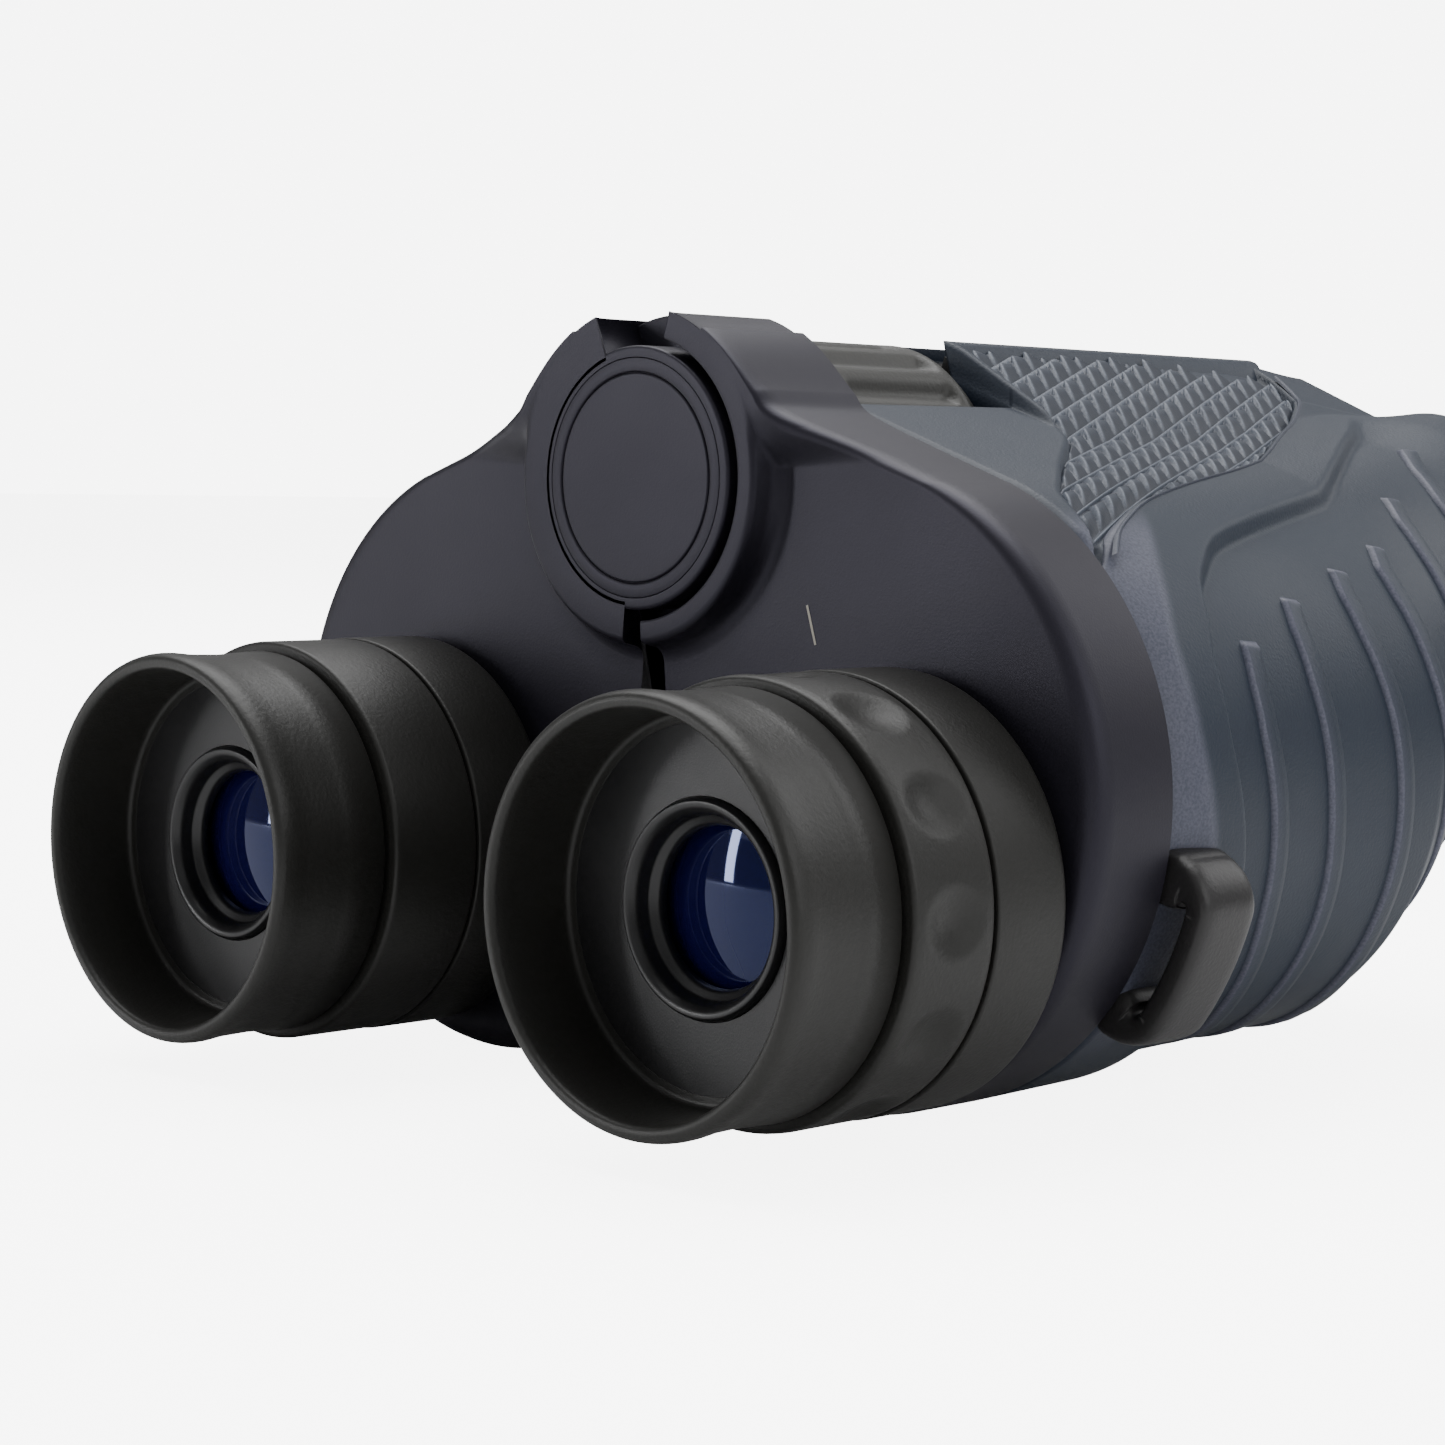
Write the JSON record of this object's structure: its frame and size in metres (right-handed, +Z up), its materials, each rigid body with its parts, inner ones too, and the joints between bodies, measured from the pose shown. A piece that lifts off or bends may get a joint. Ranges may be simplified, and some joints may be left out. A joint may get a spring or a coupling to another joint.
{
  "type": "compact zoom binoculars",
  "caption": "Folding compact reverse-Porro zoom binoculars with centre focus wheel, rubber armour, dioptre ring and rubber eyecups.",
  "frame": {"origin": "centre of the bounding box's underside: the hinge axis lies over it, half way between eyecup lips and front rims", "axes": "X to the right as seen by the user, +Y from the eyepieces to the objectives, +Z up through the hinge"},
  "size_m": [0.1038, 0.12, 0.066],
  "materials": {
    "cover": "matt moulded black with a faint purple cast",
    "chassis": "matt black moulding",
    "armour": "soft blue-grey rubber armour",
    "lug_rubber": "smooth black rubber",
    "eyecup_rubber": "fine-textured black rubber",
    "ring_rubber": "fine-textured black rubber",
    "wheel_rubber": "grooved black rubber",
    "black_metal": "black anodised",
    "spring_steel": "bright spring steel",
    "steel": "turned steel",
    "eye_glass": "coated, deep blue",
    "inner_glass": "coated",
    "objective_glass": "coated, red to violet",
    "prism_glass": "polished"
  },
  "bodies": {
    "left_half": {"left_rear_cover": "cover", "left_body_shell": "chassis", "left_armour": "armour", "left_strap_lug": "lug_rubber", "left_prism_plate": "chassis", "left_prism_screws": "spring_steel", "left_prism_rear": "prism_glass", "left_prism_front": "prism_glass", "left_prism_clips": "spring_steel", "left_guide_tube": "black_metal", "left_eyecup": "eyecup_rubber", "left_lens_bezel": "black_metal", "left_ocular_barrel": "black_metal", "left_eye_lens": "eye_glass", "left_field_lens": "inner_glass", "left_eyepiece_ring": "ring_rubber", "hinge_cap": "cover", "hinge_axle": "steel", "hinge_washer": "steel", "hinge_nut": "black_metal", "bridge_cover": "cover"},
    "right_half": {"right_rear_cover": "cover", "right_body_shell": "chassis", "right_armour": "armour", "right_strap_lug": "lug_rubber", "right_prism_plate": "chassis", "right_prism_screws": "spring_steel", "right_prism_rear": "prism_glass", "right_prism_front": "prism_glass", "right_prism_clips": "spring_steel", "right_guide_tube": "black_metal"},
    "right_ocular": {"right_eyecup": "eyecup_rubber", "right_lens_bezel": "black_metal", "right_ocular_barrel": "black_metal", "right_eye_lens": "eye_glass", "right_field_lens": "inner_glass"},
    "dioptre_ring": {"right_dioptre_ring": "ring_rubber"},
    "right_zoom": {"right_zoom_ring": "ring_rubber", "right_cam_tube": "black_metal", "right_zoom_lever": "ring_rubber"},
    "left_zoom": {"left_zoom_ring": "ring_rubber", "left_cam_tube": "black_metal"},
    "focus_wheel": {"focus_wheel": "wheel_rubber"},
    "focus_sleeve": {"focus_sleeve": "steel"},
    "left_objective": {"left_objective_cell": "black_metal", "left_objective_lens": "objective_glass", "left_objective_ring": "black_metal"},
    "left_zoom_rear": {"left_zoom_cell_rear": "black_metal", "left_zoom_lens_rear": "inner_glass"},
    "left_zoom_front": {"left_zoom_cell_front": "black_metal", "left_zoom_lens_front": "inner_glass"},
    "right_objective": {"right_objective_cell": "black_metal", "right_objective_lens": "objective_glass", "right_objective_ring": "black_metal"},
    "right_zoom_rear": {"right_zoom_cell_rear": "black_metal", "right_zoom_lens_rear": "inner_glass"},
    "right_zoom_front": {"right_zoom_cell_front": "black_metal", "right_zoom_lens_front": "inner_glass"}
  },
  "joints": [
    {"name": "hinge", "type": "hinge", "parent": "left_half", "child": "right_half", "pos_m": [0, 0, 0.0519], "axis": [0, -1, 0], "range_deg": [-5.2, 33]},
    {"name": "focus_turn", "type": "hinge", "parent": "left_half", "child": "focus_wheel", "pos_m": [0, 0, 0.0519], "axis": [0, 1, 0], "range_deg": [-150, 150]},
    {"name": "focus_slide", "type": "slide", "parent": "left_half", "child": "focus_sleeve", "axis": [0, 1, 0], "range_m": [-0.002, 0.002]},
    {"name": "left_objective_slide", "type": "slide", "parent": "left_half", "child": "left_objective", "axis": [0, 1, 0], "range_m": [-0.002, 0.002]},
    {"name": "right_objective_slide", "type": "slide", "parent": "right_half", "child": "right_objective", "axis": [0, 1, 0], "range_m": [-0.002, 0.002]},
    {"name": "dioptre_turn", "type": "hinge", "parent": "right_half", "child": "dioptre_ring", "pos_m": [0.029, 0, 0.01965], "axis": [0, -1, 0], "range_deg": [-40, 40]},
    {"name": "dioptre_slide", "type": "slide", "parent": "right_half", "child": "right_ocular", "axis": [0, 1, 0], "range_m": [-0.0005, 0.0005]},
    {"name": "zoom_turn", "type": "hinge", "parent": "right_half", "child": "right_zoom", "pos_m": [0.029, 0, 0.01965], "axis": [0, -1, 0], "range_deg": [0, 60]},
    {"name": "left_zoom_turn", "type": "hinge", "parent": "left_half", "child": "left_zoom", "pos_m": [-0.029, 0, 0.01965], "axis": [0, -1, 0], "range_deg": [-60, 0]},
    {"name": "left_zoom_rear_slide", "type": "slide", "parent": "left_half", "child": "left_zoom_rear", "axis": [0, 1, 0], "range_m": [-0.003, 0]},
    {"name": "left_zoom_front_slide", "type": "slide", "parent": "left_half", "child": "left_zoom_front", "axis": [0, 1, 0], "range_m": [0, 0.003]},
    {"name": "right_zoom_rear_slide", "type": "slide", "parent": "right_half", "child": "right_zoom_rear", "axis": [0, 1, 0], "range_m": [-0.003, 0]},
    {"name": "right_zoom_front_slide", "type": "slide", "parent": "right_half", "child": "right_zoom_front", "axis": [0, 1, 0], "range_m": [0, 0.003]}
  ],
  "couplings": [
    {"joint": "focus_slide", "follows": "focus_turn", "m_per_rad": 0.00076},
    {"joint": "left_objective_slide", "follows": "focus_turn", "m_per_rad": 0.00076},
    {"joint": "right_objective_slide", "follows": "focus_turn", "m_per_rad": 0.00076},
    {"joint": "dioptre_slide", "follows": "dioptre_turn", "m_per_rad": 0.000715},
    {"joint": "left_zoom_turn", "follows": "zoom_turn", "ratio": -1},
    {"joint": "left_zoom_rear_slide", "follows": "zoom_turn", "m_per_rad": -0.00286},
    {"joint": "left_zoom_front_slide", "follows": "zoom_turn", "m_per_rad": 0.00286},
    {"joint": "right_zoom_rear_slide", "follows": "zoom_turn", "m_per_rad": -0.00286},
    {"joint": "right_zoom_front_slide", "follows": "zoom_turn", "m_per_rad": 0.00286}
  ]
}
